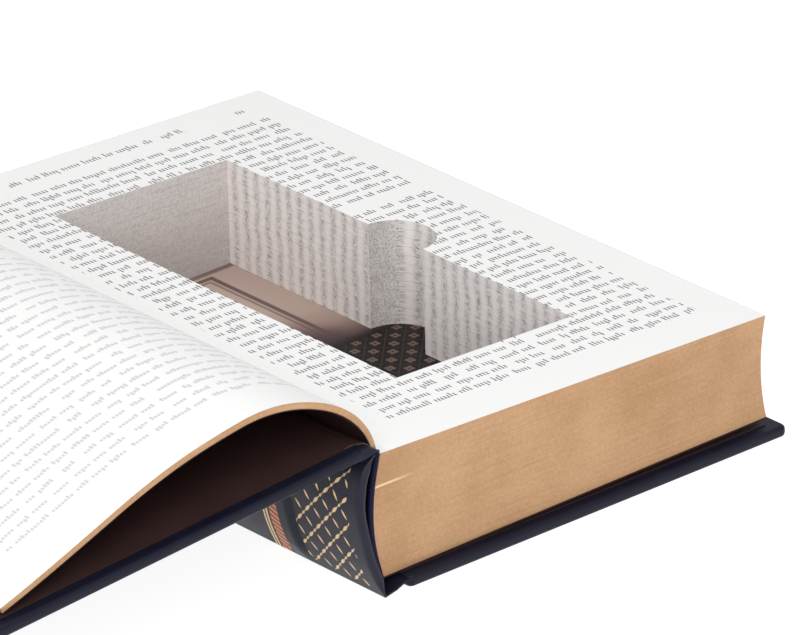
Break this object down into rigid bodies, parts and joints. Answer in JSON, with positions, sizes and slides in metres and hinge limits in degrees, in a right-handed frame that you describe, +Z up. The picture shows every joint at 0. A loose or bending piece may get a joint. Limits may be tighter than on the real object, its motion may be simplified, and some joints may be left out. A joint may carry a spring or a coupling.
{
  "type": "book diversion safe",
  "caption": "Leather-bound book lying open, with its page block cut out as a hidden compartment with a thumb notch; cover and first leaves turn over and shut on it.",
  "frame": {"origin": "middle of the text block's footprint, on the flat underside of the back cover that the open book rests on", "axes": "+X from the spine to the fore-edge of the block, +Y from the tail to the head of the book, +Z up; the front cover lies open towards -X"},
  "size_m": [0.3076, 0.2346, 0.0693],
  "materials": {
    "leather": "near-black navy goatskin-like leather, fine grain, soft sheen",
    "board": "grey millboard and card, matt",
    "endpaper": "dark maroon-brown endpaper, matt",
    "pages": "white book paper, matt; its outer edges are gilt",
    "floor_print": "printed paper in copper and brown, slight sheen",
    "cloth": "natural open-weave mull",
    "end_band": "dark blue cord-stuffed silk band"
  },
  "bodies": {
    "root": {"back_board": "board", "back_infill_card": "board", "back_cover_leather": "leather", "back_pastedown": "endpaper", "back_flyleaf": "endpaper", "compartment_floor_plate": "floor_print", "section_1": "pages", "section_2": "pages", "section_3": "pages", "section_4": "pages", "section_5": "pages", "section_6": "pages", "section_7": "pages", "section_8": "pages", "section_9": "pages", "section_10": "pages", "section_11": "pages", "section_12": "pages", "mull": "cloth", "head_band": "end_band", "tail_band": "end_band", "spine_leather": "leather", "spine_inlay": "board", "raised_band_1": "board", "raised_band_2": "board", "raised_band_3": "board", "raised_band_4": "board", "raised_band_5": "board"},
    "front_cover": {"front_board": "board", "front_infill_card": "board", "front_cover_leather": "leather", "front_pastedown": "endpaper"},
    "leaves_1": {"first_leaves_strip_1": "pages", "front_flyleaf_strip_1": "endpaper"},
    "leaves_2": {"first_leaves_strip_2": "pages", "front_flyleaf_strip_2": "endpaper"},
    "leaves_3": {"first_leaves_strip_3": "pages", "front_flyleaf_strip_3": "endpaper"},
    "leaves_4": {"first_leaves_strip_4": "pages", "front_flyleaf_strip_4": "endpaper"},
    "leaves_5": {"first_leaves_strip_5": "pages", "front_flyleaf_strip_5": "endpaper"},
    "leaves_6": {"first_leaves_strip_6": "pages", "front_flyleaf_strip_6": "endpaper"}
  },
  "joints": [
    {"name": "front_cover_hinge", "type": "hinge", "parent": "root", "child": "front_cover", "pos_m": [-0.07534, 0, 0.048], "axis": [0, 1, 0], "range_deg": [0, 186.36]},
    {"name": "leaves_bend_1", "type": "hinge", "parent": "root", "child": "leaves_1", "pos_m": [-0.07519, 0, 0.04359], "axis": [0, 1, 0], "range_deg": [0, 112.34]},
    {"name": "leaves_bend_2", "type": "hinge", "parent": "root", "child": "leaves_2", "pos_m": [-0.07436, 0, 0.04589], "axis": [0, 1, 0], "range_deg": [0, 144.34]},
    {"name": "leaves_bend_3", "type": "hinge", "parent": "leaves_2", "child": "leaves_3", "pos_m": [-0.09728, 0, 0.06339], "axis": [0, 1, 0], "range_deg": [0, 23.02]},
    {"name": "leaves_bend_4", "type": "hinge", "parent": "leaves_2", "child": "leaves_4", "pos_m": [-0.10377, 0, 0.06653], "axis": [0, 1, 0], "range_deg": [0, 44.02]},
    {"name": "leaves_bend_5", "type": "hinge", "parent": "leaves_4", "child": "leaves_5", "pos_m": [-0.14102, 0, 0.0636], "axis": [0, 1, 0], "range_deg": [0, 10.02]},
    {"name": "leaves_bend_6", "type": "hinge", "parent": "leaves_5", "child": "leaves_6", "pos_m": [-0.16371, 0, 0.05679], "axis": [0, 1, 0], "range_deg": [0, 4.02]}
  ],
  "couplings": [
    {"joint": "leaves_bend_1", "follows": "front_cover_hinge", "ratio": 0.6027},
    {"joint": "leaves_bend_2", "follows": "front_cover_hinge", "ratio": 0.77441},
    {"joint": "leaves_bend_3", "follows": "front_cover_hinge", "ratio": 0.12341},
    {"joint": "leaves_bend_4", "follows": "front_cover_hinge", "ratio": 0.2361},
    {"joint": "leaves_bend_5", "follows": "front_cover_hinge", "ratio": 0.053658},
    {"joint": "leaves_bend_6", "follows": "front_cover_hinge", "ratio": 0.021463}
  ]
}
